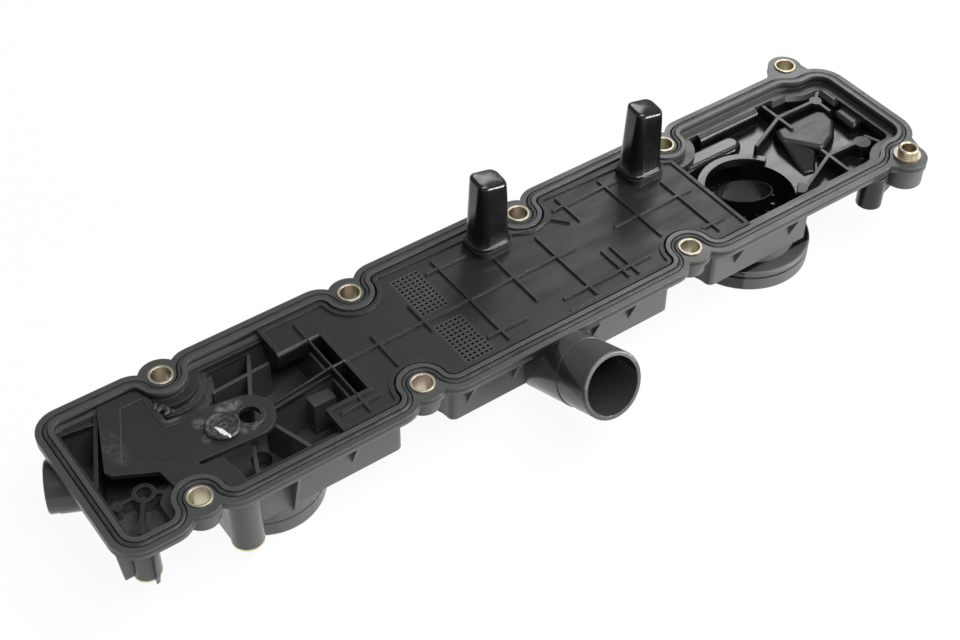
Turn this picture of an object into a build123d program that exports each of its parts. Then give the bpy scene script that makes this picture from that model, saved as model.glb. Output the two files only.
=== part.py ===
from build123d import *
import math
import os

os.makedirs("parts", exist_ok=True)

# Engine valve cover, lying on its outer side with the joint face up.
# X runs along the engine, Z = 0 is the joint plane that meets the cylinder head.

# Joint outline: a long rounded rectangle that steps inboard around every bolt.
RIM_LEFT = -160.3
RIM_RIGHT = 246.0
RIM_FRONT = -36.8
RIM_REAR = 32.2
CORNER_R = 5.0
CUSP_R = 4.5
DETOUR_R = 10.6
BOLTS = {
    "sleeve_rear_left": (-112.0, 31.5),
    "sleeve_rear_mid_left": (-24.7, 28.2),
    "sleeve_rear_mid_right": (63.4, 28.2),
    "sleeve_rear_right": (147.5, 28.6),
    "sleeve_front_left": (-129.5, -32.4),
    "sleeve_front_mid": (-28.8, -32.4),
    "sleeve_front_right": (111.5, -32.4),
}
EAR_REAR = (235.8, 41.2)
EAR_REAR_CUT_R = 14.2
EAR_REAR_R = 8.2
EAR_FRONT = (234.6, -42.2)
EAR_FRONT_CUT = (235.5, -41.7)
EAR_FRONT_CUT_R = 12.4
EAR_FRONT_R = 9.5
EAR_FILLET = 8.0

# Widths measured outward from the inner rim edge.
RIM_W = 2.0
GROOVE_W = 2.4
LIP_W = 2.7
FLANGE_W = RIM_W + GROOVE_W + LIP_W
BOSS_R = 9.4

# Levels of the joint face and flange.
LIP_Z = -0.8
GROOVE_Z = -3.3
FLANGE_Z = -4.8
SEAT_Z = -3.7

# Walls, measured inward from the inner rim edge.
WALL_IN = 1.2
WALL_T = 2.5
SEAT_W = 4.4
STEP_Z = -7.8
ROLL_W = 7.6
ROLL_R = 2.6
FLOOR_T = 2.5
DEEP_Z = -28.5
SHALLOW_Z = -14.0
DEEP_RIGHT = 181.0
CORNER_POCKET = (-120.0, -13.0)
LEFT_END = -141.5
LEFT_WALL_OUT = 0.2
LEFT_WALL_T = 2.0

# Compression sleeves and the stepped locating sleeve.
SLEEVE_R = 5.28
SLEEVE_BORE_R = 4.12
SLEEVE_BOTTOM = -12.4
SEAT_GAP = 0.03
PILLAR_R = 7.3
PILLAR_Z = -12.0
LOCATOR_R = 6.2
LOCATOR_TUBE_R = 4.6
LOCATOR_BORE_R = 3.25
LOCATOR_TOP = 4.4

# Gasket bead.
BEAD_W = 1.9
BEAD_TOP = -0.35
BEAD_ROUND = 0.55

# Round pressure-valve housing under the left end.
DOME = (-92.4, -10.3)
DOME_R = 25.5
DOME_WALL = 3.2
DOME_SPLIT = -34.5
BASE_Z = -44.5
DOME_FILLET = 3.5
MEMBRANE_T = 1.0
PORT_R = 4.5

# Round neck under the right end.
NECK = (167.0, -11.5)
NECK_R = 23.5
NECK_WALL = 2.5
NECK_RIM_R = 30.5
NECK_RIM_T = 11.0
INNER_TUBE = (166.8, -8.0)
INNER_TUBE_R = 13.0
INNER_TUBE_WALL = 1.1
INNER_TUBE_TOP = -12.5
CURB_Z = -8.5
CURB_W = 1.0

# Hose spigots.
TUBE_ROOT = (35.0, -34.8, -21.0)
TUBE_DIR = (0.025, -1.0, 0.383)
TUBE_LEN = 41.5
TUBE_R = 15.0
TUBE_WALL = 2.1
TUBE_END = 18.0
SPIGOT_ROOT = (-154.3, 13.1, -19.0)
SPIGOT_DIR = (-0.904, 0.427, 0.0)
SPIGOT_LEN = 17.4
SPIGOT_R = 10.9
SPIGOT_WALL = 2.0
SPIGOT_END = 4.4
SPIGOT_SWELL = 0.35

# Baffle plate and its raised details.
PLATE_GAP = 1.0
PLATE_TOP = -1.3
PLATE_BORDER = 1.8
BORDER_TOP = -0.5
BORDER_ROUND = 1.6
PLATE_LEFT = -68.0
PLATE_BAY = (-48.0, -22.0, 14.0)
PLATE_RIGHT = 143.5
RIB_W = 1.2
RIB_TOP = -0.3
NOSE_W = 3.2
NOSE_Z = -7.6
MESH_PITCH = 2.25
MESH_HOLE = 1.3

# Deflector plate.
DEFLECTOR_TOP = -1.5
DEFLECTOR_HOLE = (-93.4, -6.9)
PANEL_DEPTH = 0.7
STAKE = (-105.0, -6.3)

# Drain cups.
CUPS = {"drain_cup_left": (41.0, 20.4), "drain_cup_right": (126.1, 20.2)}
CUP_BASE = (19.0, 16.0)
CUP_TIP = (15.5, 12.6)
CUP_TOP = 37.5
CUP_WALL = 1.7
COLLAR = (22.5, 19.6)
COLLAR_TOP = 2.2

# Outside posts with brass inserts; the left one stands beside the valve housing.
POST_REACH = DOME_R + 7.2
POST_LEFT = (DOME[0] - 0.6483 * POST_REACH, DOME[1] - 0.7614 * POST_REACH, 6.8, -33.4)
POSTS = {"insert_left": POST_LEFT, "insert_corner": (-155.0, -33.0, 5.7, -25.0)}
RIGHT_POST = (217.5, -39.5, 6.0, -22.0)
INSERT_R = 3.4
INSERT_BORE_R = 2.1
INSERT_LEN = 9.0
INSERT_FLANGE_T = 1.2

RIB_T = 1.6
FROM_BASE = (Align.CENTER, Align.CENTER, Align.MIN)


def rect(x0, x1, y0, y1):
    return Pos((x0 + x1) / 2, (y0 + y1) / 2) * Rectangle(x1 - x0, y1 - y0)


def disc(at, radius):
    return Pos(at[0], at[1]) * Circle(radius)


# The frame's origin is midway between the two middle rear bolts, on the joint plane.
DATUM_X = (BOLTS["sleeve_rear_mid_left"][0] + BOLTS["sleeve_rear_mid_right"][0]) / 2
DATUM_Y = BOLTS["sleeve_rear_mid_left"][1]


def outline(points):
    return make_face(Polyline(*points, close=True))


def prism(plan, z0, z1):
    return extrude(Pos(0, 0, z0) * plan, z1 - z0)


def strip(start, end, width):
    """Plan of a straight rib between two points."""
    dx = end[0] - start[0]
    dy = end[1] - start[1]
    middle = Pos((start[0] + end[0]) / 2, (start[1] + end[1]) / 2)
    return middle * Rot(0, 0, math.degrees(math.atan2(dy, dx))) * Rectangle(math.hypot(dx, dy), width)


def ribs(lines, width):
    plan = strip(lines[0][0], lines[0][1], width)
    for start, end in lines[1:]:
        plan += strip(start, end, width)
    return plan


def grown(plan, amount):
    return offset(plan, amount=amount, kind=Kind.ARC)


def corner_points(plan, low, high):
    return [v for v in plan.vertices() if low < v.X < high]


def rim_plan():
    """Area inside the inner rim edge, with its steps around the bolts."""
    plan = rect(RIM_LEFT, RIM_RIGHT, RIM_FRONT, RIM_REAR)
    for at in BOLTS.values():
        plan -= disc(at, DETOUR_R)
    plan -= disc(EAR_REAR, EAR_REAR_CUT_R)
    plan -= disc(EAR_FRONT_CUT, EAR_FRONT_CUT_R)
    plan = fillet(corner_points(plan, RIM_LEFT + 5, EAR_REAR[0] - 20), CUSP_R)
    plan = fillet(corner_points(plan, RIM_LEFT - 1, RIM_LEFT + 1), CORNER_R)
    return fillet(corner_points(plan, EAR_REAR[0] - 19, RIM_RIGHT + 1), EAR_FILLET)


RIM = rim_plan()


def flange_plan():
    plan = grown(RIM, FLANGE_W)
    for at in BOLTS.values():
        plan += disc(at, BOSS_R)
    plan += disc(EAR_REAR, EAR_REAR_R)
    plan += disc(EAR_FRONT, EAR_FRONT_R)
    ex, ey = EAR_REAR
    rear = [(-15, -3.6), (-3.5, 7.3), (7, -1), (8, -9), (-10, -9)]
    plan += outline([(ex + x, ey + y) for x, y in rear])
    fx, fy = EAR_FRONT
    front = [(-13, 1), (-5, -7.5), (8, -4), (12, 9), (-8, 12)]
    plan += outline([(fx + x, fy + y) for x, y in front])
    return plan


def deep_mask(inset):
    """Part of the plan where the cover is at full depth."""
    whole = rect(RIM_LEFT - 5, DEEP_RIGHT - inset, RIM_FRONT - 5, RIM_REAR + 5)
    corner = rect(RIM_LEFT - 6, CORNER_POCKET[0] + inset, RIM_FRONT - 6, CORNER_POCKET[1] + inset)
    return whole - corner


def left_end(inset):
    """Plan of the end past the first bolts, where the walls stand out under the rim."""
    return rect(RIM_LEFT - 9, LEFT_END - inset, RIM_FRONT - 9, RIM_REAR + 9)


def tube(root, direction, length, radius, overlap=0.0):
    plane = Plane(origin=root, z_dir=direction)
    return plane * Pos(0, 0, -overlap) * Cylinder(radius, length + overlap, align=FROM_BASE)


def shell_body():
    """Flange, walls and floors before the inside is cut."""
    outer_wall = grown(RIM, -WALL_IN)
    body = prism(flange_plan(), FLANGE_Z, LIP_Z)
    body += prism(grown(RIM, RIM_W), FLANGE_Z, 0)
    body += prism(outer_wall, SHALLOW_Z, FLANGE_Z)
    body += prism(outer_wall & deep_mask(0), DEEP_Z, FLANGE_Z)
    end_wall = grown(RIM, LEFT_WALL_OUT) & left_end(0)
    body += prism(end_wall, SHALLOW_Z, FLANGE_Z) + prism(end_wall & deep_mask(0), DEEP_Z, FLANGE_Z)
    for at in list(BOLTS.values()) + [EAR_REAR]:
        body += prism(disc(at, PILLAR_R), PILLAR_Z, FLANGE_Z)
    body += prism(disc(EAR_FRONT, EAR_FRONT_R - 0.6), PILLAR_Z - 1.5, FLANGE_Z)
    return body


def gussets():
    """Triangular webs between flange and wall, front and rear."""
    front_wall = RIM_FRONT + WALL_IN
    rear_wall = RIM_REAR - WALL_IN
    lip = FLANGE_W + WALL_IN - 1.5
    webs = []
    for x in (-64.4, -8.4, 14.4, 57.0, 76.7, 138.0, 171.0):
        side = outline([(front_wall + 1, FLANGE_Z), (front_wall - lip, FLANGE_Z), (front_wall + 1, -24)])
        webs.append(Plane.YZ.offset(x - RIB_T / 2) * side)
    for x in (-140.0, -68.0, 18.0, 105.0, 190.0):
        side = outline([(rear_wall - 1, FLANGE_Z), (rear_wall + lip, FLANGE_Z), (rear_wall - 1, -13)])
        webs.append(Plane.YZ.offset(x - RIB_T / 2) * side)
    solid = extrude(webs[0], RIB_T)
    for web in webs[1:]:
        solid += extrude(web, RIB_T)
    long_web = outline([(-35, FLANGE_Z), (-43, FLANGE_Z), (-37, -29), (-35, -33)])
    return solid + extrude(Plane.YZ.offset(DOME[0] - RIB_T / 2) * long_web, RIB_T)


def round_housings():
    """Valve housing ring, neck with its thick rim, and the tube pocket."""
    body = prism(disc(DOME, DOME_R), DOME_SPLIT, DEEP_Z + 1)
    body += prism(disc(NECK, NECK_R), BASE_Z + 1, SHALLOW_Z + 1)
    rim = prism(disc(NECK, NECK_RIM_R), BASE_Z, BASE_Z + NECK_RIM_T)
    rim = fillet(rim.edges().group_by(Axis.Z)[0] + rim.edges().group_by(Axis.Z)[-1], 1.2)
    groove = prism(disc(NECK, NECK_RIM_R + 1) - disc(NECK, NECK_RIM_R - 1.2), BASE_Z + 7.0, BASE_Z + 8.2)
    body += rim - groove
    x, y, z = TUBE_ROOT
    along = Plane(origin=(x, y, z), z_dir=(0, 1, 0))
    pocket = along * Cylinder(TUBE_R, 24, align=FROM_BASE)
    body += fillet(pocket.edges().filter_by(GeomType.CIRCLE).sort_by(Axis.Y)[-1], 4.0)
    return body


def spigots():
    """Two round spigots, each a little thicker behind the stretch that a hose grips."""
    hose = tube(TUBE_ROOT, TUBE_DIR, TUBE_LEN, TUBE_R, 3.0)
    hose = fillet(hose.edges().filter_by(GeomType.CIRCLE).sort_by(Axis.Y)[0], 0.8)
    hose += tube(TUBE_ROOT, TUBE_DIR, TUBE_LEN - TUBE_END, TUBE_R + SPIGOT_SWELL, 3.0)
    side = tube(SPIGOT_ROOT, SPIGOT_DIR, SPIGOT_LEN, SPIGOT_R)
    side = fillet(side.edges().filter_by(GeomType.CIRCLE).sort_by(Axis.X)[0], 0.9)
    side += tube(SPIGOT_ROOT, SPIGOT_DIR, SPIGOT_LEN - SPIGOT_END, SPIGOT_R + SPIGOT_SWELL)
    return hose + side


def fin(at, turn, profile):
    """Upright web of a post, turned about the post's axis."""
    side = make_face(Polyline(*profile, close=True))
    web = extrude(Plane.XZ.offset(-RIB_T / 2) * side, RIB_T)
    return Pos(at[0], at[1], 0) * Rot(0, 0, turn) * web


def outside_posts():
    """Screw posts with fins on the outer side."""
    x, y, radius, bottom = POSTS["insert_left"]
    body = prism(disc((x, y), radius), bottom, FLANGE_Z)
    sides = strip((x - 6, y), (x - 6, y + 14), RIB_T) + strip((x + 6, y), (x + 6, y + 14), RIB_T)
    body += prism(sides, bottom + 2, FLANGE_Z)
    x, y, radius, bottom = POSTS["insert_corner"]
    body += prism(disc((x, y), radius), bottom, FLANGE_Z)
    body += fin((x, y), 180, [(0, bottom + 1), (9.4, bottom + 1), (11.2, FLANGE_Z), (0, FLANGE_Z)])
    tip = [(radius, bottom), (radius + 0.4, bottom - 3.2), (radius + 1.6, bottom + 2)]
    body += fin((x, y), -80, [(0, bottom + 3)] + tip + [(radius + 3.4, FLANGE_Z), (0, FLANGE_Z)])
    body += fin((x, y), 40, [(0, bottom + 8), (11.5, FLANGE_Z), (0, FLANGE_Z)])
    x, y, radius, bottom = RIGHT_POST
    body += prism(disc((x, y), radius), bottom, FLANGE_Z)
    web = [(0, bottom), (radius - 1, bottom), (14, -13), (14, FLANGE_Z), (0, FLANGE_Z)]
    return body + fin((x, y), -8, web)


def inner_ribs():
    """Webs, bosses and raised pads that stand inside the cavities."""
    left = ribs(
        [
            ((-158.5, -4.0), (-141.5, 31.0)),
            ((-158.5, 28.5), (-145.0, 26.5)),
        ],
        RIB_T,
    )
    deep = ribs(
        [
            ((-73.7, 29.5), (-86.9, 4.8)),
            ((-96.1, -12.5), (-105.2, -34.0)),
            ((-97.0, 17.7), (-70.0, 19.2)),
            ((-86.1, -8.8), (-78.0, -34.0)),
            ((-53.0, 29.5), (-53.0, -34.0)),
            ((-120.0, 14.0), (-120.0, -34.0)),
        ],
        RIB_T,
    )
    solid = prism(left, -27, SEAT_Z)
    solid += prism(deep, -27, -8.0)
    solid += prism(strip((-50, -3.2), (-86.9, -7.5), RIB_T), -27, -4.0)
    solid += prism(rect(-67.3, -57.0, -11.9, -5.8), -27, -9.0)
    shoulder = BOLTS["sleeve_rear_left"]
    solid += prism(disc(shoulder, DETOUR_R + 6.9), -27, -6.6)
    solid += prism(disc(shoulder, DETOUR_R + 9.6), -27, -11.0)
    ring = disc((-144.4, -15.2), 4.7)
    corner = ribs(
        [
            ((-144.4, -15.2), (-158.5, -14.5)),
            ((-144.4, -15.2), (-131.5, -22.5)),
            ((-144.4, -15.2), (-154.6, -31.8)),
        ],
        RIB_T,
    )
    solid += prism(ring + corner, SHALLOW_Z + 1, -5.0)
    solid += prism(disc((-154.6, -31.8), 4.7) + disc((-155.5, -14.8), 2.4), SHALLOW_Z + 1, -5.6)
    return solid - prism(disc((-144.4, -15.2), 3.0), SHALLOW_Z + FLOOR_T, 0)


def right_ribs():
    right = ribs(
        [
            ((209.3, 30.0), (209.3, 6.4)),
            ((209.3, -12.7), (209.3, -34.5)),
            ((209.3, 16.8), (233.0, 16.3)),
            ((233.2, 16.0), (243.0, 24.0)),
            ((233.2, 16.0), (233.2, 6.0)),
            ((209.3, 16.5), (186.0, 6.5)),
            ((209.3, -17.8), (229.0, -18.8)),
            ((209.3, -17.8), (182.0, -29.9)),
            ((233.2, -16.8), (237.5, -28.5)),
        ],
        RIB_T,
    )
    solid = prism(right, SHALLOW_Z + 1, -4.6) + raised_forms()
    solid += prism(rect(140.0, 181.0, 23.0, 29.5), -27, -12.5)
    curb = disc(NECK, NECK_R + CURB_W) & Pos(NECK[0], NECK[1]) * Rot(0, 0, 30) * rect(-40, 40, 0, 40)
    solid += prism(curb, SHALLOW_Z + 1, CURB_Z)
    bosses = disc((233.2, 16.0), 3.0) + disc((229.1, -19.8), 4.0) + disc((182.2, -27.5), 3.4)
    return solid + prism(bosses, SHALLOW_Z + 1, -4.6)


def raised_forms():
    """Rounded hump, knob, duct and rolled ledges on the right floor."""
    rear_side = [(199.5, 4.5), (203.0, 12.0), (229.5, 12.0), (233.0, 8.5)]
    hump = outline(rear_side + [(231.5, 0.5), (223.5, -7.5), (212.5, -12.5)])
    hump = prism(fillet(hump.vertices(), 3.0), SHALLOW_Z + 1, -5.8)
    knob = outline([(235.6, 7.0), (248.0, 7.0), (248.0, -4.0), (235.0, -10.0)])
    knob = prism(fillet(knob.vertices(), 2.5), SHALLOW_Z + 1, -6.0)
    duct = prism(rect(140.0, 181.0, 13.4, 23.8) + disc((181.0, 18.6), 5.2), -27, -8.0)
    rounded = [fillet(form.edges().group_by(Axis.Z)[-1], 2.6) for form in (hump, knob, duct)]
    tongue = prism(outline([(200.5, 6.0), (214.0, -5.0), (201.5, -18.5), (195.5, -17.0)]), SHALLOW_Z + 1, 0)
    slope = Plane(origin=(205.0, 4.0, -6.2), z_dir=(0, -0.2, 1))
    tongue = split(tongue, bisect_by=slope, keep=Keep.BOTTOM)
    tongue = fillet(tongue.faces().sort_by(Axis.Z)[-1].edges(), 1.6)
    band = grown(RIM, -1.6) - grown(RIM, -ROLL_W)
    ledge = prism(band & rect(168.0, 204.0, 10.0, 40.0), -27, SEAT_Z - 0.2)
    ledge = fillet(ledge.edges().group_by(Axis.Z)[-1].sort_by(Axis.Y)[0], ROLL_R)
    corner = prism(band & rect(213.0, 250.0, 9.0, 40.0), -27, SEAT_Z - 0.2)
    corner = chamfer(corner.edges().group_by(Axis.Z)[-1], ROLL_R - 0.8)
    return rounded[0] + rounded[1] + rounded[2] + tongue + ledge + corner


def make_shell():
    """One moulding: flange, walls, housings, posts, spigots and inner webs."""
    inner = grown(RIM, -(WALL_IN + WALL_T))
    end_room = grown(RIM, LEFT_WALL_OUT - LEFT_WALL_T) & left_end(1.0)
    body = shell_body() + gussets() + round_housings() + spigots() + outside_posts()
    body -= prism(RIM, SEAT_Z, 1)
    body -= prism(grown(RIM, -SEAT_W), STEP_Z, 1)
    body -= prism(inner, SHALLOW_Z + FLOOR_T, STEP_Z)
    body -= prism(inner & deep_mask(WALL_T), DEEP_Z + FLOOR_T, STEP_Z)
    body -= prism(end_room, SHALLOW_Z + FLOOR_T, SEAT_Z + 1)
    body -= prism(end_room & deep_mask(WALL_T), DEEP_Z + FLOOR_T, SEAT_Z)
    body -= prism(grown(RIM, RIM_W + GROOVE_W) - grown(RIM, RIM_W), GROOVE_Z, 1)
    x, y, z = TUBE_ROOT
    along = Plane(origin=(x, y, z), z_dir=(0, 1, 0))
    pocket = along * Cylinder(TUBE_R - TUBE_WALL, 21.5, align=FROM_BASE)
    body -= pocket & prism(rect(x - 20, x + 20, RIM_FRONT, 0), BASE_Z, STEP_Z)
    neck_room = prism(disc(NECK, NECK_R - NECK_WALL), BASE_Z - 1, 0)
    body -= neck_room
    room = prism(grown(RIM, -(WALL_IN + 1)), -29, SEAT_Z)
    room += prism(grown(RIM, LEFT_WALL_OUT - 1) & left_end(1.0), -29, SEAT_Z)
    webs = (inner_ribs() + right_ribs()) & room
    body += webs - neck_room
    bore = disc(INNER_TUBE, INNER_TUBE_R - INNER_TUBE_WALL)
    spokes = PolarLocations(INNER_TUBE_R, 14)
    fins = [Pos(INNER_TUBE[0], INNER_TUBE[1]) * spot * Rectangle(3.4, 0.9) for spot in spokes]
    stub = prism(disc(INNER_TUBE, INNER_TUBE_R) - bore, -30, 0) + prism(Sketch() + fins - bore, -30, -17)
    slant = Plane(origin=(INNER_TUBE[0], INNER_TUBE[1], INNER_TUBE_TOP), z_dir=(0.1, 0.35, 1))
    floor_ring = prism(disc(NECK, NECK_R - 1) - bore, -31, -28.8)
    body += split(stub, bisect_by=slant, keep=Keep.BOTTOM) + floor_ring
    body -= tube(TUBE_ROOT, TUBE_DIR, TUBE_LEN + 1, TUBE_R - TUBE_WALL, 2.0)
    body -= tube(SPIGOT_ROOT, SPIGOT_DIR, SPIGOT_LEN + 1, SPIGOT_R - SPIGOT_WALL, 2.0)
    body -= prism(disc(DOME, DOME_R + 0.3), BASE_Z - 1, DOME_SPLIT)
    body -= prism(disc(DOME, DOME_R - DOME_WALL), DOME_SPLIT - 1, DEEP_Z)
    body += prism(disc(DOME, PORT_R + 1.8), DOME_SPLIT + 1.6, DEEP_Z + 1)
    body -= prism(disc(DOME, PORT_R), DOME_SPLIT, -20)
    for at in list(BOLTS.values()) + [EAR_REAR]:
        body -= prism(disc(at, SLEEVE_R + SEAT_GAP), PILLAR_Z - 2, 2)
    body -= prism(disc(EAR_FRONT, LOCATOR_R + SEAT_GAP), PILLAR_Z - 4, 2)
    for x, y, radius, bottom in list(POSTS.values()) + [RIGHT_POST]:
        body -= prism(disc((x, y), INSERT_R + SEAT_GAP), bottom - 1, bottom + INSERT_LEN + 0.6)
        body -= prism(disc((x, y), radius), bottom - INSERT_FLANGE_T - 0.2, bottom)
    return body


def make_gasket():
    inside = RIM_W + 0.05
    bead = prism(grown(RIM, inside + BEAD_W) - grown(RIM, inside), GROOVE_Z, BEAD_TOP)
    return chamfer(bead.edges().group_by(Axis.Z)[-1], BEAD_ROUND)


def make_sleeve(at):
    sleeve = prism(disc(at, SLEEVE_R) - disc(at, SLEEVE_BORE_R), SLEEVE_BOTTOM, 0)
    return chamfer(sleeve.edges().filter_by(GeomType.CIRCLE), 0.25)


def make_locator():
    """Stepped sleeve: a wide collar in the ear and a proud pilot tube."""
    collar = prism(disc(EAR_FRONT, LOCATOR_R), PILLAR_Z - 1.9, 0.6)
    pilot = prism(disc(EAR_FRONT, LOCATOR_TUBE_R), 0.6, LOCATOR_TOP)
    body = collar + pilot - prism(disc(EAR_FRONT, LOCATOR_BORE_R), PILLAR_Z - 3, LOCATOR_TOP + 1)
    return chamfer(body.edges().filter_by(GeomType.CIRCLE).group_by(Axis.Z)[-1], 0.5)


def plate_plan():
    """Main baffle outline, with the bay that opens over the left cavity."""
    bay_x, bay_front, bay_rear = PLATE_BAY
    area = rect(PLATE_LEFT, PLATE_RIGHT, RIM_FRONT, RIM_REAR)
    area -= rect(PLATE_LEFT - 1, bay_x, bay_front, bay_rear)
    return grown(RIM, -PLATE_GAP) & area


def plate_ribs():
    """Stiffening lines of the baffle: long ones first, then cross ribs from left to right."""
    lines = [((-48, -3.8), (71, -3.8)), ((93, -3), (137, -3)), ((8, 19.4), (29, 19.4))]
    lines += [((77, 21), (114, 21)), ((7.5, -26.3), (28, -26.3)), ((47, -26.3), (94, -26.3))]
    lines += [((-64, -27.3), (-45.5, -27.3)), ((124, -26), (137, -26)), ((45, -33.6), (76, -33.6))]
    lines += [((-53.5, 25.5), (-53.5, 16.5)), ((-53.5, -22), (-53.5, -32.5)), ((-31, 2), (-31, -19))]
    lines += [((-8.5, 8), (-8.5, -10)), ((14.5, 25), (14.5, -32)), ((37.5, 10.5), (37.5, -20.5))]
    lines += [((60.5, 11.5), (60.5, -32)), ((83.3, 27), (83.3, 9)), ((83.3, -12), (83.3, -32))]
    lines += [((78.5, -12), (78.5, -31)), ((106.5, 26), (106.5, -19)), ((129.5, 9), (129.5, -31))]
    lines += [((51, 20.5), (63, 15.5)), ((63, 15.5), (73, 17.5)), ((73, 17.5), (79, 10.5))]
    return ribs(lines, RIB_W)


def mesh_holes():
    """Two patches of small square drain holes."""
    cells = []
    for y0 in (-32.0, 0.6):
        centre = Pos(-0.4, y0 + 5 * MESH_PITCH)
        spots = GridLocations(MESH_PITCH, MESH_PITCH, 6, 11)
        cells += [centre * spot * Rectangle(MESH_HOLE, MESH_HOLE) for spot in spots]
    return Sketch() + cells


def bay_nose(plan):
    """Rounded lip that hangs down along the bay's rear and left edges."""
    bay_x, bay_front, bay_rear = PLATE_BAY
    edges = rect(PLATE_LEFT, bay_x + NOSE_W, bay_rear, bay_rear + NOSE_W)
    edges += rect(PLATE_LEFT, PLATE_LEFT + NOSE_W, bay_rear, RIM_REAR)
    edges += rect(bay_x, bay_x + NOSE_W, bay_front, bay_rear + NOSE_W)
    nose = prism(edges & grown(RIM, -(SEAT_W + SEAT_GAP)), NOSE_Z, PLATE_TOP)
    return nose & prism(plan, NOSE_Z, PLATE_TOP)


def make_baffle():
    plan = plate_plan()
    border = plan - grown(plan, -PLATE_BORDER)
    plate = prism(plan, SEAT_Z, PLATE_TOP) + prism(border, PLATE_TOP, BORDER_TOP)
    plate += bay_nose(plan)
    rear = PLATE_BAY[2]
    bay_edge = plate.edges().filter_by(Axis.X).filter_by_position(Axis.Y, rear - 0.1, rear + 0.1)
    plate = fillet(bay_edge.group_by(Axis.Z)[-1], BORDER_ROUND)
    plate += prism(plate_ribs() & plan, PLATE_TOP - 0.1, RIB_TOP)
    for at in CUPS.values():
        collar = Pos(at[0], at[1]) * RectangleRounded(COLLAR[0], COLLAR[1], 5.0)
        seat = Pos(at[0], at[1]) * RectangleRounded(CUP_BASE[0] + 0.1, CUP_BASE[1] + 0.1, 4.0)
        plate += prism(collar & grown(RIM, -PLATE_GAP), SEAT_Z, COLLAR_TOP)
        plate -= prism(seat, SEAT_Z + 0.8, CUP_TOP)
        clear = RectangleRounded(CUP_BASE[0] - 2 * CUP_WALL, CUP_BASE[1] - 2 * CUP_WALL, 2.5)
        plate -= prism(Pos(at[0], at[1]) * clear, SEAT_Z - 1, CUP_TOP)
    plate -= prism(mesh_holes(), SEAT_Z - 1, 1)
    return plate


def tapered(shrink, low, high):
    """Rounded-rectangle prism that narrows towards the tip."""
    taper = math.degrees(math.atan2((CUP_BASE[0] - CUP_TIP[0]) / 2, CUP_TOP - SEAT_Z))
    section = RectangleRounded(CUP_BASE[0] - 2 * shrink, CUP_BASE[1] - 2 * shrink, 4.2 - shrink)
    return extrude(Pos(0, 0, low) * section, high - low, taper=taper)


def make_cup(at):
    """Tapered drain cup with a slanted, dished tip."""
    low = SEAT_Z + 0.8
    body = tapered(0, low, CUP_TOP + 2)
    tip = Plane(origin=(0, 0, CUP_TOP - 0.8), z_dir=(0.12, -0.12, 1))
    body = split(body, bisect_by=tip, keep=Keep.BOTTOM)
    body = fillet(body.faces().sort_by(Axis.Z)[-1].edges(), 1.6)
    body -= tip * Pos(0, 0, 4.9) * Sphere(6.4)
    body -= tapered(CUP_WALL, low - 0.01, CUP_TOP - 8)
    return Pos(at[0], at[1], 0) * body


def deflector_plan():
    left = [(-138.6, 36.0), (-153.1, -0.7), (-151.6, -3.7), (-135.6, -12.2), (-134.6, -20.7), (-131.0, -36.0)]
    lug = [(-110.6, -36.0), (-110.6, -29.7), (-112.6, -19.7), (-121.0, -18.4), (-121.6, -16.2)]
    arm = [(-94.6, -18.2), (-94.6, 4.8), (-121.6, 9.3), (-121.6, 36.0)]
    plan = outline(left + lug + arm) + disc((-94.6, -6.7), 11.5)
    return plan & grown(RIM, -PLATE_GAP)


def make_deflector():
    """Left deflector with a recessed panel, a port hole and a heat stake."""
    plan = deflector_plan()
    plate = prism(plan, SEAT_Z, DEFLECTOR_TOP)
    far_side = [(-112.0, -12.0), (-112.0, 4.0), (-124.0, 7.0), (-124.0, 25.4)]
    panel = outline([(-133.2, 25.4), (-145.8, -0.6), (-131.0, -10.4)] + far_side)
    recess = prism(panel & grown(plan, -2.0), DEFLECTOR_TOP - PANEL_DEPTH, 1)
    fade = Plane(origin=(-134.0, 0, DEFLECTOR_TOP - PANEL_DEPTH), z_dir=(-PANEL_DEPTH / 20.0, 0, 1))
    plate -= split(recess, bisect_by=fade, keep=Keep.TOP)
    plate += prism(disc(DEFLECTOR_HOLE, PORT_R + 1.6), DEFLECTOR_TOP - 0.1, DEFLECTOR_TOP + 0.4)
    plate -= prism(disc(DEFLECTOR_HOLE, PORT_R), SEAT_Z - 1, 1)
    stake = Pos(STAKE[0], STAKE[1], DEFLECTOR_TOP - 0.1) * Cone(7.0, 4.5, 1.0, align=FROM_BASE)
    return plate + stake


def make_valve_cap():
    """Round cap that closes the valve housing and guides the spring."""
    cap = prism(disc(DOME, DOME_R), BASE_Z, DOME_SPLIT - MEMBRANE_T)
    cap = fillet(cap.edges().group_by(Axis.Z)[0], DOME_FILLET)
    cap -= prism(disc(DOME, DOME_R - DOME_WALL), BASE_Z + 2.2, 0)
    return cap + prism(disc(DOME, 4.2) - disc(DOME, 2.6), BASE_Z + 2.0, BASE_Z + 4.0)


def make_membrane():
    """Rolling membrane with a stiff centre, clamped at its edge."""
    top = DOME_SPLIT
    low = top - MEMBRANE_T
    room = DOME_R - DOME_WALL
    roll = [(room - 1.8, top), (room - 3.8, top - 1.8), (room - 5.8, top)]
    under = [(room - 6.1, low), (room - 3.8, low - 1.9), (room - 1.5, low)]
    centre = [(0, top + 0.6), (9, top + 0.6), (9, top)]
    edge = [(DOME_R - 0.2, top), (DOME_R - 0.2, low)]
    half = Polyline(*centre, *reversed(roll), *edge, *reversed(under), (0, low), close=True)
    return Pos(DOME[0], DOME[1], 0) * revolve(Plane.XZ * make_face(half), Axis.Z)


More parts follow.
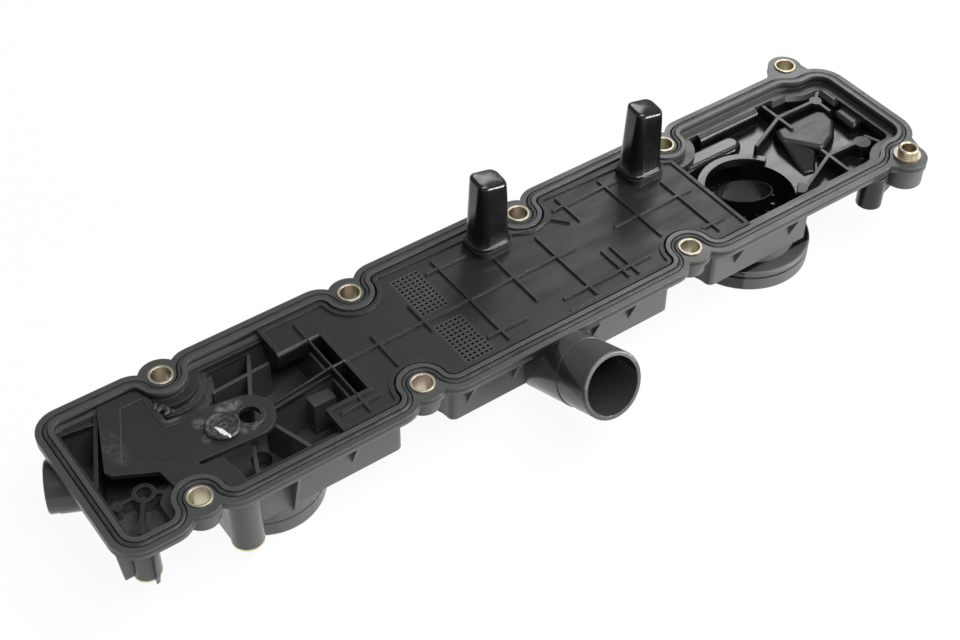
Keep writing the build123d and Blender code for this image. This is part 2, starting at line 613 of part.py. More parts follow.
def make_spring():
    """Coil spring of flat wire between the cap and the membrane."""
    wire = 0.8
    base = BASE_Z + 2.2 + wire / 2 + 0.25
    height = DOME_SPLIT - MEMBRANE_T - base - wire / 2 - 0.25
    turns = 3
    steps = 14 * turns
    points = []
    for i in range(steps + 1):
        angle = 2 * math.pi * turns * i / steps
        points.append((6.0 * math.cos(angle), 6.0 * math.sin(angle), height * i / steps))
    path = Polyline(*points)
    start = Plane(origin=path @ 0, z_dir=path % 0)
    coil = sweep(start * Rectangle(wire, wire), path, transition=Transition.RIGHT)
    return Pos(DOME[0], DOME[1], base) * coil


def make_insert(post, head_r):
    """Threaded insert with a flat head that sits on the post's lower end."""
    x, y, radius, bottom = post
    low = bottom - SEAT_GAP - INSERT_FLANGE_T
    insert = prism(disc((x, y), INSERT_R), low, bottom + INSERT_LEN)
    insert += prism(disc((x, y), head_r), low, low + INSERT_FLANGE_T)
    insert -= prism(disc((x, y), INSERT_BORE_R), low - 1, bottom + INSERT_LEN + 1)
    return chamfer(insert.edges().filter_by(GeomType.CIRCLE).group_by(Axis.Z)[0], 0.25)


def main():
    nodes = {
        "cover_shell": make_shell(),
        "joint_gasket": make_gasket(),
        "separator_baffle": make_baffle(),
        "deflector_plate": make_deflector(),
        "valve_cap": make_valve_cap(),
        "valve_membrane": make_membrane(),
        "valve_spring": make_spring(),
        "locating_sleeve": make_locator(),
        "sleeve_ear_rear": make_sleeve(EAR_REAR),
        "insert_right": make_insert(RIGHT_POST, INSERT_R + 0.6),
    }
    for name, at in BOLTS.items():
        nodes[name] = make_sleeve(at)
    for name, at in CUPS.items():
        nodes[name] = make_cup(at)
    for name, post in POSTS.items():
        nodes[name] = make_insert(post, post[2] - 0.1)
    for name, solid in nodes.items():
        export_step(Pos(-DATUM_X, -DATUM_Y, 0) * solid, f"parts/{name}.step")


main()
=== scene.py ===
"""Studio scene of a moulded engine valve cover that lies with its joint face up."""

from __future__ import annotations

import logging
import math
import random
from dataclasses import dataclass, field
from enum import Enum
from typing import Any, Sequence

import bmesh
import bpy
from mathutils import Matrix, Vector, noise

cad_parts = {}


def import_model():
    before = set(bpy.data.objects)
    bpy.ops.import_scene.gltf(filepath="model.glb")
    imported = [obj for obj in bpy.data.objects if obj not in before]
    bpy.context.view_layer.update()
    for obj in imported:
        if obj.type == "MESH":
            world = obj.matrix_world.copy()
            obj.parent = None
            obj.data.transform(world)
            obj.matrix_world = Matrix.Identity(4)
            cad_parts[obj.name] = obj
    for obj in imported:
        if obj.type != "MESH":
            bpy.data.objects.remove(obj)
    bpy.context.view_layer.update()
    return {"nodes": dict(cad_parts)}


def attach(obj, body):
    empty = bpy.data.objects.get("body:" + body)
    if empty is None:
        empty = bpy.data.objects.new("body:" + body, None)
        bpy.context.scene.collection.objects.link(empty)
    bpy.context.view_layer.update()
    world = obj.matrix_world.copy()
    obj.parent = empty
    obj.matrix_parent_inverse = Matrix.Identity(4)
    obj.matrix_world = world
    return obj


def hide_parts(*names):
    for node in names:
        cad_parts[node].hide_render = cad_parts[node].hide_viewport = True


LOG = logging.getLogger("valve_cover")
Triple = tuple[float, float, float]
Colour = Triple
Station = tuple[float, float, float, float]

MM = 0.001
# Where the part's frame has its origin, in drawing millimetres.
DATUM = Vector((19.35, 28.2, 0.0))
# The lowest face, which stands on the floor, and the air left under it.
FLOOR_Z = -44.5
FLOOR_GAP = 0.05
# Distances from the drawing's centre line at which the outer skins begin.
FRONT_SKIN = 34.4
REAR_SKIN = 29.8
# Round posts at the front, as x, y and radius, which keep the plain glossy finish, without the
# rougher skin or its painted bounce light.
ROUND_PARTS = ((-114.8, -35.2, 8.2), (-155.0, -33.0, 7.4), (217.5, -39.5, 7.6))
# The hose tube's middle and half width along the cover, and where it starts.
TUBE_SIDE = (35.0, 17.5)
TUBE_FRONT = 36.6
# The round neck's axis, its wall's inner and outer radius, and where it begins.
NECK_AXIS = (167.0, -11.5)
NECK_SKIN = (22.0, 28.0)
NECK_TOP = 12.0
# Depths at which the outer skin and the bays begin, and the lips' lowest height.
SKIN_TOP = 3.2
BAY_TOP = 6.5
LIP_SKIN = -1.6
# Where the left bay's painted light ends and the right bay's painted shade begins.
BAY_SPLIT = 60.0
# Half widths of the steps between two tones, from sharp to broad.
SHARP = 0.3
CRISP = 0.5
SOFT = 0.8
BROAD = 10.0


def at(x: float, y: float, z: float) -> Vector:
    """Turn drawing millimetres into metres of the part's own frame.

    Args:
        x: Distance along the cover in millimetres.
        y: Distance across the cover in millimetres.
        z: Height over the joint plane in millimetres.

    Returns:
        The same point in metres, measured from the middle rear bolts.
    """
    return (Vector((x, y, z)) - DATUM) * MM


class Gloss(Enum):
    """How shiny a moulded surface came out of its tool."""

    MATT = 0.40
    SATIN = 0.30
    POLISHED = 0.14


@dataclass(frozen=True)
class Cloud:
    """Noise that is cut to soft patches.

    Attributes:
        size: Rough size of one patch in millimetres.
        detail: Number of finer layers.
        edge: Noise value at which a patch begins.
        soft: Half width of its edge in noise values.
        stretch: Factor on each axis.
    """

    size: float
    detail: float
    edge: float
    soft: float
    stretch: Triple = (1.0, 1.0, 1.0)


class Num:
    """A shader socket that takes part in Python arithmetic."""

    def __init__(self, book: "Book", socket: Any) -> None:
        """Keep the socket and the material it belongs to."""
        self.book = book
        self.socket = socket

    def _with(self, operation: str, first: Any, second: Any) -> "Num":
        """Add one Math node.

        Args:
            operation: The Math node's operation.
            first: A number or a wrapped socket.
            second: A number or a wrapped socket.

        Returns:
            The wrapped result.
        """
        made = self.book.node("ShaderNodeMath", {"operation": operation}, {0: first, 1: second})
        return Num(self.book, made.outputs[0])

    def __add__(self, other: Any) -> "Num":
        """Add."""
        return self._with("ADD", self, other)

    def __radd__(self, other: Any) -> "Num":
        """Add from the right."""
        return self._with("ADD", other, self)

    def __sub__(self, other: Any) -> "Num":
        """Subtract."""
        return self._with("SUBTRACT", self, other)

    def __rsub__(self, other: Any) -> "Num":
        """Subtract from a plain number."""
        return self._with("SUBTRACT", other, self)

    def __mul__(self, other: Any) -> "Num":
        """Multiply."""
        return self._with("MULTIPLY", self, other)

    def __rmul__(self, other: Any) -> "Num":
        """Multiply from the right."""
        return self._with("MULTIPLY", other, self)

    def __truediv__(self, other: Any) -> "Num":
        """Divide."""
        return self._with("DIVIDE", self, other)

    def size(self) -> "Num":
        """Drop the sign."""
        return self._with("ABSOLUTE", self, 0.0)

    def larger(self, other: Any) -> "Num":
        """Take the larger of two values."""
        return self._with("MAXIMUM", self, other)

    def above(self, edge: float, soft: float) -> "Num":
        """Make a mask of where the value passes an edge.

        Args:
            edge: Middle of the step.
            soft: Half width of the step.

        Returns:
            0 below the edge, 1 over it, with a soft change.
        """
        settings = {"interpolation_type": "SMOOTHSTEP"}
        inputs = {"Value": self, "From Min": edge - soft, "From Max": edge + soft}
        made = self.book.node("ShaderNodeMapRange", settings, inputs)
        return Num(self.book, made.outputs[0])


class Book:
    """One material and the nodes that are written into it."""

    def __init__(self, name: str) -> None:
        """Start an empty material with its output.

        Args:
            name: Name of the material.
        """
        self.material = bpy.data.materials.new(name)
        self.material.use_nodes = True
        self.tree = self.material.node_tree
        self.tree.nodes.clear()
        self.out = self.node("ShaderNodeOutputMaterial", {}, {})
        self.place = self.node("ShaderNodeTexCoord", {}, {}).outputs["Object"]

    def node(self, kind: str, settings: dict[str, Any], inputs: dict[Any, Any]) -> Any:
        """Add one node.

        Args:
            kind: Blender's type name of the node.
            settings: Properties that are set first.
            inputs: Values or links by socket name or number.

        Returns:
            The new node.
        """
        made = self.tree.nodes.new(kind)
        for key, value in settings.items():
            setattr(made, key, value)
        for key, value in inputs.items():
            socket = made.inputs[key]
            if isinstance(value, Num):
                self.tree.links.new(value.socket, socket)
            elif isinstance(value, bpy.types.NodeSocket):
                self.tree.links.new(value, socket)
            else:
                socket.default_value = value
        return made

    def parts(self, vector: Any) -> tuple[Num, Num, Num]:
        """Split a vector's socket into its three numbers."""
        split = self.node("ShaderNodeSeparateXYZ", {}, {0: vector})
        return Num(self, split.outputs[0]), Num(self, split.outputs[1]), Num(self, split.outputs[2])

    def drawn(self) -> tuple[Num, Num, Num]:
        """Give the shaded point in drawing millimetres, as x, y and z."""
        x, y, z = self.parts(self.place)
        return x / MM + DATUM.x, y / MM + DATUM.y, z / MM

    def facing(self) -> Any:
        """Give the socket of the face's own direction."""
        return self.node("ShaderNodeNewGeometry", {}, {}).outputs["Normal"]

    def grain(self, size: float, detail: float = 2.0, stretch: Triple = (1.0, 1.0, 1.0)) -> Num:
        """Sample cloudy noise.

        Args:
            size: Rough size of one cloud in millimetres.
            detail: Number of finer layers.
            stretch: Factor on each axis.

        Returns:
            The noise from 0 to 1.
        """
        stretched = self.node("ShaderNodeMapping", {}, {"Vector": self.place, "Scale": stretch})
        inputs = {"Vector": stretched.outputs[0], "Scale": 1.0 / (size * MM), "Detail": detail}
        return Num(self, self.node("ShaderNodeTexNoise", {}, inputs).outputs[0])

    def cloud(self, cloud: "Cloud") -> Num:
        """Sample noise and cut it to separate soft patches."""
        return self.grain(cloud.size, cloud.detail, cloud.stretch).above(cloud.edge, cloud.soft)

    def blend(self, mask: Any, low: Any, high: Any) -> Any:
        """Mix two colours.

        Args:
            mask: 0 for the first colour, 1 for the second.
            low: First colour or link.
            high: Second colour or link.

        Returns:
            The mixed colour's socket.
        """
        low = (*low, 1.0) if isinstance(low, tuple) and len(low) == 3 else low
        high = (*high, 1.0) if isinstance(high, tuple) and len(high) == 3 else high
        made = self.node("ShaderNodeMix", {"data_type": "RGBA"}, {0: mask, 6: low, 7: high})
        return made.outputs[2]

    def relief(self, height: Any, depth: float, edge: float = 0.0) -> Any:
        """Turn a height into a surface normal, with softened solid edges.

        Args:
            height: Height pattern from 0 to 1.
            depth: Depth of the pattern in millimetres.
            edge: Radius of the softened edges in millimetres.

        Returns:
            The normal's socket.
        """
        inputs: dict[Any, Any] = {"Height": height, "Distance": depth * MM, "Strength": 1.0}
        if edge > 0:
            softened = self.node("ShaderNodeBevel", {"samples": 4}, {"Radius": edge * MM})
            inputs["Normal"] = softened.outputs[0]
        return self.node("ShaderNodeBump", {}, inputs).outputs[0]

    def edge_highlight(self, reach: float) -> Num:
        """Find the outer and inner edges of a moulding, where a highlight is painted.

        Args:
            reach: Width of the edge in millimetres.

        Returns:
            0 on the faces, 1 on the edges.
        """
        soft = self.node("ShaderNodeBevel", {"samples": 6}, {"Radius": reach * MM}).outputs[0]
        vectors = {0: soft, 1: self.facing()}
        made = self.node("ShaderNodeVectorMath", {"operation": "DOT_PRODUCT"}, vectors)
        turned, spread = 0.07, 0.06
        return (1.0 - Num(self, made.outputs["Value"])).above(turned, spread)

    def surface(self, inputs: dict[str, Any]) -> bpy.types.Material:
        """Close the material with its main shader.

        Args:
            inputs: Sockets of the main shader.

        Returns:
            The finished material.
        """
        shader = self.node("ShaderNodeBsdfPrincipled", {}, inputs)
        self.tree.links.new(shader.outputs[0], self.out.inputs[0])
        return self.material

    def metal(self, colour: Any, rough: Num, normal: Any) -> bpy.types.Material:
        """Close the material as bare metal."""
        finish = {"Base Color": colour, "Metallic": 1.0, "Roughness": rough, "Normal": normal}
        return self.surface(finish)


@dataclass(frozen=True)
class Mark:
    """A paler place on a moulding: a scuff cloud or the ground of a hole patch.

    Attributes:
        centre: Middle of the mark in drawing millimetres.
        half: Half its length along and across the cover.
        strength: How far it goes to the scuffed colour, from 0 to 1.
        square: Whether it is an even rectangle and not a cloud.
        patches: The cloud's noise.
        square_edge: Edge and softness of the rectangle, as shares of its half.
        round_edge: Edge and softness of the cloud, as squares of its share.
    """

    centre: tuple[float, float]
    half: tuple[float, float]
    strength: float
    square: bool = False
    patches: Cloud = Cloud(2.6, 4.0, 0.47, 0.16)
    square_edge: tuple[float, float] = (1.0, 0.04)
    round_edge: tuple[float, float] = (0.7, 0.5)

    def mask(self, book: Book) -> Num:
        """Write the mark as a mask from 0 to 1.

        Args:
            book: The material that gets the mark.

        Returns:
            The mask.
        """
        over, across, _ = book.drawn()
        x = (over - self.centre[0]) / self.half[0]
        y = (across - self.centre[1]) / self.half[1]
        if self.square:
            return (1.0 - x.size().larger(y.size()).above(*self.square_edge)) * self.strength
        inside = 1.0 - (x * x + y * y).above(*self.round_edge)
        return inside * book.cloud(self.patches) * self.strength


@dataclass(frozen=True)
class MouldedNylon:
    """Glass-filled nylon with tool grain, flow clouds and a highlight painted along its edges.

    Attributes:
        name: Name of the material.
        colour: Its plain colour.
        cloud: Colour of the paler clouds.
        gloss: How shiny it is.
        edge: Radius of its softened edges in millimetres.
        speckle: Strength of the dust specks.
        marks: Its scuffs and pale patches.
        lit_outside: Colour of the outside, lighter to paint the light that the floor throws back,
            on the shell only.
        clouds: Noise of the paler clouds.
        flow: Noise of the darker flow marks.
        specks: Noise of the dust specks.
        speck_fields: Noise of the fields that the specks lie in.
        grain_size: Size of the tool grain in millimetres.
        orange_peel: Size of the wavy skin in millimetres.
        relief_depth: Depth of both in millimetres.
        highlight_reach: Width of an edge with a painted highlight, in millimetres.
        flow_dim: Brightness of a flow mark against the plain colour.
        dust_lift: Factor and offset from the plain colour to dust.
        highlight_lift: Factor and offset from the plain colour to the painted edge highlight.
        scuffed: Colour of the marks.
        left_bay_light: Lighter colour towards which the left bay goes, and how far: painted light
            in its shaded hollow.
        right_bay_shade: Near black towards which the right bay goes, and how far: painted shade in
            the deep bay.
        lips: Lighter colour towards which the lips go, and how far: a painted highlight.
        eroded_rough: How much rougher the outside is.
        bay_polish: How much smoother the bays are.
    """

    name: str
    colour: Colour
    cloud: Colour
    gloss: Gloss
    edge: float = 0.35
    speckle: float = 0.25
    marks: tuple[Mark, ...] = ()
    lit_outside: Colour | None = None
    clouds: Cloud = Cloud(26.0, 3.0, 0.55, 0.18, (1.0, 1.6, 1.0))
    flow: Cloud = Cloud(14.0, 4.0, 0.56, 0.12, (0.5, 2.2, 1.0))
    specks: Cloud = Cloud(1.4, 4.0, 0.66, 0.05)
    speck_fields: Cloud = Cloud(17.0, 2.0, 0.52, 0.1)
    grain_size: float = 0.55
    orange_peel: float = 3.5
    relief_depth: float = 0.05
    highlight_reach: float = 0.45
    flow_dim: float = 0.45
    dust_lift: tuple[float, float] = (2.4, 0.012)
    highlight_lift: tuple[float, float] = (2.2, 0.03)
    scuffed: Colour = (0.16, 0.165, 0.165)
    left_bay_light: tuple[Colour, float] = ((0.052, 0.056, 0.056), 0.8)
    right_bay_shade: tuple[Colour, float] = ((0.002, 0.002, 0.0022), 0.6)
    lips: tuple[Colour, float] = ((0.054, 0.059, 0.057), 0.75)
    eroded_rough: float = 0.2
    bay_polish: float = 0.14

    def tone(self, factor: float, lift: float = 0.0) -> Colour:
        """Give the moulding's colour, scaled and lifted."""
        return tuple(min(1.0, channel * factor + lift) for channel in self.colour)

    def outside(self, book: Book) -> Num:
        """Find the outer walls, which came from a spark-eroding tool and get painted bounce light.

        Args:
            book: The material that gets the mask.

        Returns:
            0 on the joint face and in the bays, 1 on the outside.
        """
        over, across, height = book.drawn()
        depth = 0.0 - height
        forward = 0.0 - across
        tube_width = 1.0 - (over - TUBE_SIDE[0]).size().above(TUBE_SIDE[1], CRISP)
        tube = tube_width * forward.above(TUBE_FRONT, SHARP)
        front = forward.above(FRONT_SKIN, CRISP) * (1.0 - tube)
        post_soft = 4.0
        for x, y, radius in ROUND_PARTS:
            square = (over - x) * (over - x) + (across - y) * (across - y)
            front = front * square.above(radius**2, post_soft)
        rear = across.above(REAR_SKIN, CRISP)
        neck = self.neck_wall(book, over - NECK_AXIS[0], across - NECK_AXIS[1])
        low_neck = neck * depth.above(NECK_TOP, SOFT)
        return front.larger(rear).larger(low_neck) * depth.above(SKIN_TOP, SOFT)

    def neck_wall(self, book: Book, along: Num, beside: Num) -> Num:
        """Find the outer face of the round neck.

        Args:
            book: The material that gets the mask.
            along: Distance from the neck's axis along the cover.
            beside: Distance from the neck's axis across the cover.

        Returns:
            1 on the faces that look away from the axis, 0 elsewhere.
        """
        away_x, away_y, _ = book.parts(book.facing())
        square = along * along + beside * beside
        inner, outer = (radius**2 for radius in NECK_SKIN)
        wall_soft, turned_out, turned_soft = 30.0, 8.0, 4.0
        ring = square.above(inner, wall_soft) * (1.0 - square.above(outer, wall_soft))
        return ring * (along * away_x + beside * away_y).above(turned_out, turned_soft)

    def shell_zones(self, book: Book, colour: Any, rough: Num) -> tuple[Any, Num]:
        """Paint light into the left bay, shade into the right bay, a highlight on the lips and
        bounce light on the outer skin.

        Args:
            book: The shell's material.
            colour: The plain moulding's colour.
            rough: The plain moulding's roughness.

        Returns:
            The colour and the roughness with the zones in them.
        """
        outer = self.outside(book)
        over, _, height = book.drawn()
        bay_soft = 1.0
        bay = (0.0 - height).above(BAY_TOP, bay_soft) * (1.0 - outer)
        right = over.above(BAY_SPLIT, BROAD)
        lip = height.above(LIP_SKIN, SHARP)
        # Painted light, painted shade, a painted highlight and painted bounce light, in that order.
        zones = (
            (bay * (1.0 - right), self.left_bay_light),
            (bay * right, self.right_bay_shade),
            (lip, self.lips),
            (outer, (self.lit_outside, 1.0)),
        )
        for mask, (tone, share) in zones:
            colour = book.blend(mask * share, colour, tone)
        return colour, rough + outer * self.eroded_rough - bay * self.bay_polish

    def material(self) -> bpy.types.Material:
        """Write the material.

        Returns:
            The finished material.
        """
        book = Book(self.name)
        clouds = book.cloud(self.clouds)
        flow = book.cloud(self.flow)
        dust = book.cloud(self.specks) * book.cloud(self.speck_fields)
        fine = book.grain(self.grain_size, 3.0)
        colour = book.blend(clouds * 0.6, self.colour, self.cloud)
        colour = book.blend(flow * 0.5, colour, self.tone(self.flow_dim))
        colour = book.blend(dust * self.speckle, colour, self.tone(*self.dust_lift))
        # The edges are painted lighter, as a highlight.
        edge_highlight = book.edge_highlight(self.highlight_reach)
        colour = book.blend(edge_highlight * 0.8, colour, self.tone(*self.highlight_lift))
        for mark in self.marks:
            colour = book.blend(mark.mask(book), colour, self.scuffed)
        rough = self.gloss.value + fine * 0.1 - clouds * 0.06 + flow * 0.07 + dust * 0.08
        # The shell also gets painted light and shade in its bays, on its lips and on its outside.
        if self.lit_outside:
            colour, rough = self.shell_zones(book, colour, rough)
        height = fine * 0.7 + book.grain(self.orange_peel, 2.0) * 0.6
        normal = book.relief(height, self.relief_depth, self.edge)
        return book.surface({"Base Color": colour, "Roughness": rough, "Normal": normal})


@dataclass(frozen=True)
class MouldedRubber:
    """Black seal rubber with a faint bloom along the bead."""

    name: str = "seal_rubber"
    colour: Colour = (0.018, 0.018, 0.019)
    bloomed: Colour = (0.042, 0.043, 0.044)
    bloom: Cloud = Cloud(5.0, 3.0, 0.5, 0.2)

    def material(self) -> bpy.types.Material:
        """Write the material.

        Returns:
            The finished material.
        """
        book = Book(self.name)
        bloom = book.cloud(self.bloom)
        colour = book.blend(bloom * 0.5, self.colour, self.bloomed)
        rough = 0.38 + bloom * 0.18
        normal = book.relief(book.grain(0.9, 2.0), 0.03)
        return book.surface({"Base Color": colour, "Roughness": rough, "Normal": normal})


@dataclass(frozen=True)
class PassivatedSteel:
    """Zinc-plated steel with a pale yellow passivation and turning marks."""

    name: str = "passivated_sleeve"
    rim: Colour = (0.50, 0.46, 0.36)
    bore: Colour = (0.54, 0.53, 0.36)
    blush: Colour = (0.58, 0.47, 0.40)
    stains: Cloud = Cloud(9.0, 2.0, 0.52, 0.12)
    turning: Triple = (1.0, 1.0, 6.0)

    def material(self) -> bpy.types.Material:
        """Write the material.

        Returns:
            The finished material.
        """
        book = Book(self.name)
        flat = book.parts(book.facing())[2].above(0.6, 0.2)
        tint = book.blend(book.cloud(self.stains), self.bore, self.blush)
        colour = book.blend(flat, tint, self.rim)
        rough = 0.24 + book.grain(2.0, 3.0) * 0.16 + flat * 0.12
        normal = book.relief(book.grain(0.8, 2.0, self.turning), 0.02)
        return book.metal(colour, rough, normal)


@dataclass(frozen=True)
class TurnedBrass:
    """Brass of the threaded inserts."""

    name: str = "insert_brass"
    bright: Colour = (0.82, 0.68, 0.40)
    dull: Colour = (0.55, 0.42, 0.22)
    tarnish: Cloud = Cloud(2.5, 3.0, 0.5, 0.2)

    def material(self) -> bpy.types.Material:
        """Write the material.

        Returns:
            The finished material.
        """
        book = Book(self.name)
        tarnish = book.cloud(self.tarnish)
        colour = book.blend(tarnish * 0.6, self.bright, self.dull)
        rough = 0.26 + tarnish * 0.15
        normal = book.relief(tarnish, 0.02)
        return book.metal(colour, rough, normal)


@dataclass(frozen=True)
class SpringWire:
    """Drawn wire of the valve spring."""

    name: str = "spring_wire"
    low: Colour = (0.52, 0.52, 0.53)
    high: Colour = (0.68, 0.68, 0.68)
    drawing: Triple = (1.0, 1.0, 4.0)

    def material(self) -> bpy.types.Material:
        """Write the material.

        Returns:
            The finished material.
        """
        book = Book(self.name)
        drawn = book.grain(0.6, 2.0, self.drawing)
        colour = book.blend(drawn, self.low, self.high)
        rough = 0.3 + drawn * 0.1
        normal = book.relief(drawn, 0.01)
        return book.metal(colour, rough, normal)


@dataclass(frozen=True)
class MeltedNylon:
    """Overheated nylon, scorched grey in patches, with a white highlight painted where its mesh
    layer asks for it.
    """

    name: str = "stake_melt"
    black: Colour = (0.014, 0.015, 0.015)
    grey: Colour = (0.05, 0.053, 0.053)
    glint_white: Colour = (0.72, 0.74, 0.74)
    scorch: Cloud = Cloud(2.2, 3.0, 0.55, 0.1)

    def material(self) -> bpy.types.Material:
        """Write the material.

        Returns:
            The finished material.
        """
        book = Book(self.name)
        # The mesh layer says where a white highlight is painted into the colour.
        glint = book.node("ShaderNodeAttribute", {"attribute_name": "glint"}, {}).outputs["Fac"]
        white = Num(book, glint) * (0.6 + book.grain(0.9, 3.0) * 0.7)
        burnt = book.blend(book.cloud(self.scorch), self.black, self.grey)
        colour = book.blend(white, burnt, self.glint_white)
        rough = 0.5 + white * 0.15
        normal = book.relief(book.grain(1.1, 3.0), 0.05)
        return book.surface({"Base Color": colour, "Roughness": rough, "Normal": normal})


def place(mesh: bmesh.types.BMesh, name: str, material: bpy.types.Material) -> bpy.types.Object:
    """Put a finished mesh on the cover, with its material.

    Args:
        mesh: The mesh, in metres of the part's frame.
        name: Name of the piece.
        material: Its material.

    Returns:
        The placed object.
    """
    data = bpy.data.meshes.new(name)
    mesh.to_mesh(data)
    mesh.free()
    data.materials.append(material)
    piece = bpy.data.objects.new(name, data)
    bpy.context.scene.collection.objects.link(piece)
    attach(piece, "root")
    LOG.info("%s: %d faces", name, len(data.polygons))
    return piece


def smooth(mesh: bmesh.types.BMesh) -> None:
    """Turn a new mesh's faces outward and shade them smooth.

    Args:
        mesh: The mesh that was built here.
    """
    bmesh.ops.recalc_face_normals(mesh, faces=mesh.faces)
    for face in mesh.faces:
        face.smooth = True


@dataclass
class Moulding:
    """The CAD mouldings, seals and metal parts with their finishes."""

    nodes: dict[str, bpy.types.Object]
    shell: MouldedNylon = MouldedNylon(
        "shell_nylon",
        (0.012, 0.0128, 0.013),
        (0.020, 0.0214, 0.0218),
        Gloss.SATIN,
        # Lighter outer walls: painted light thrown back by the floor.
        lit_outside=(0.058, 0.060, 0.056),
    )
    plate: MouldedNylon = MouldedNylon(
        "plate_nylon",
        (0.006, 0.007, 0.0067),
        (0.011, 0.0128, 0.0122),
        Gloss.MATT,
        marks=(
            Mark((-0.4, -20.7), (7.0, 12.6), 0.14, True),
            Mark((-0.4, 11.9), (7.0, 12.6), 0.14, True),
        ),
    )
    arm: MouldedNylon = MouldedNylon(
        "deflector_nylon",
        (0.010, 0.0115, 0.011),
        (0.018, 0.020, 0.0195),
        Gloss.MATT,
        marks=(
            Mark((-98.5, 1.6), (6.5, 3.6), 0.75),
            Mark((-111.5, 0.5), (3.4, 3.6), 0.4),
            Mark((-112.4, -8.4), (3.0, 3.0), 0.35),
            Mark((-96.8, -12.4), (4.5, 2.8), 0.4),
            Mark((-118.5, 9.5), (4.5, 3.0), 0.35),
            Mark((-144.5, 8.0), (5.0, 12.0), 0.12),
        ),
    )
    cup: MouldedNylon = MouldedNylon(
        "cup_nylon",
        (0.004, 0.004, 0.0045),
        (0.006, 0.006, 0.007),
        Gloss.POLISHED,
        edge=0.5,
        speckle=0.05,
    )

    def dress(self) -> None:
        """Give every CAD node its finish."""
        shell = self.shell.material()
        plate = self.plate.material()
        arm = self.arm.material()
        cup = self.cup.material()
        rubber = MouldedRubber().material()
        steel = PassivatedSteel().material()
        brass = TurnedBrass().material()
        wire = SpringWire().material()
        starts = {
            "cover_shell": shell,
            "valve_cap": shell,
            "separator": plate,
            "deflector": arm,
            "drain_cup": cup,
            "joint_gasket": rubber,
            "valve_membrane": rubber,
            "sleeve": steel,
            "locating": steel,
            "insert": brass,
            "valve_spring": wire,
        }
        for name, node in self.nodes.items():
            for start, material in starts.items():
                if name.startswith(start):
                    node.data.materials.clear()
                    node.data.materials.append(material)
                    LOG.info("%s: %s", name, material.name)


@dataclass(frozen=True)
class RoundedPlan:
    """A rounded rectangle in plan, in millimetres from its own middle."""

    half_x: float
    half_y: float
    radius: float
    least_radius: float = 0.3

    def inset(self, by: float) -> "RoundedPlan":
        """Give the plan that lies the same distance inside all round."""
        radius = max(self.least_radius, self.radius - by)
        return RoundedPlan(self.half_x - by, self.half_y - by, radius)

    def points(self, steps: int = 16) -> list[Vector]:
        """Walk round the plan once.

        Args:
            steps: Points on each corner.

        Returns:
            The points, anticlockwise, with z at 0.
        """
        found = []
        for corner, (sx, sy) in enumerate(((1, 1), (-1, 1), (-1, -1), (1, -1))):
            for step in range(steps):
                angle = (corner + step / (steps - 1)) * math.pi / 2
                x = sx * (self.half_x - self.radius) + self.radius * math.cos(angle)
                y = sy * (self.half_y - self.radius) + self.radius * math.sin(angle)
                found.append(Vector((x, y, 0.0)))
        return found

    def outward(self, point: Vector) -> tuple[float, Vector]:
        """Measure how far a point lies outside the plan.

        Args:
            point: A point from the plan's middle.

        Returns:
            The distance, negative inside, and the direction that leads out.
        """
        over_x = abs(point.x) - self.half_x + self.radius
        over_y = abs(point.y) - self.half_y + self.radius
        if over_x > 0 and over_y > 0:
            away = Vector((over_x, over_y))
            reach = away.length
        else:
            away = Vector((1.0, 0.0)) if over_x > over_y else Vector((0.0, 1.0))
            reach = max(over_x, over_y)
        away.normalize()
        out = Vector((math.copysign(away.x, point.x), math.copysign(away.y, point.y), 0.0))
        return reach - self.radius, out


def skin(mesh: bmesh.types.BMesh, rings: list[list[Vector]]) -> None:
    """Close a surface over rings of points, with a fan at either end.

    Args:
        mesh: The mesh that gets the faces.
        rings: Rings with the same number of points, in metres.
    """
    rows = [[mesh.verts.new(point) for point in ring] for ring in rings]
    for low, high in zip(rows, rows[1:]):
        for index, vert in enumerate(low):
            after = (index + 1) % len(low)
            mesh.faces.new((vert, low[after], high[after], high[index]))
    for row in (rows[0], rows[-1]):
        middle = mesh.verts.new(sum((vert.co for vert in row), Vector()) / len(row))
        for index, vert in enumerate(row):
            mesh.faces.new((vert, row[(index + 1) % len(row)], middle))


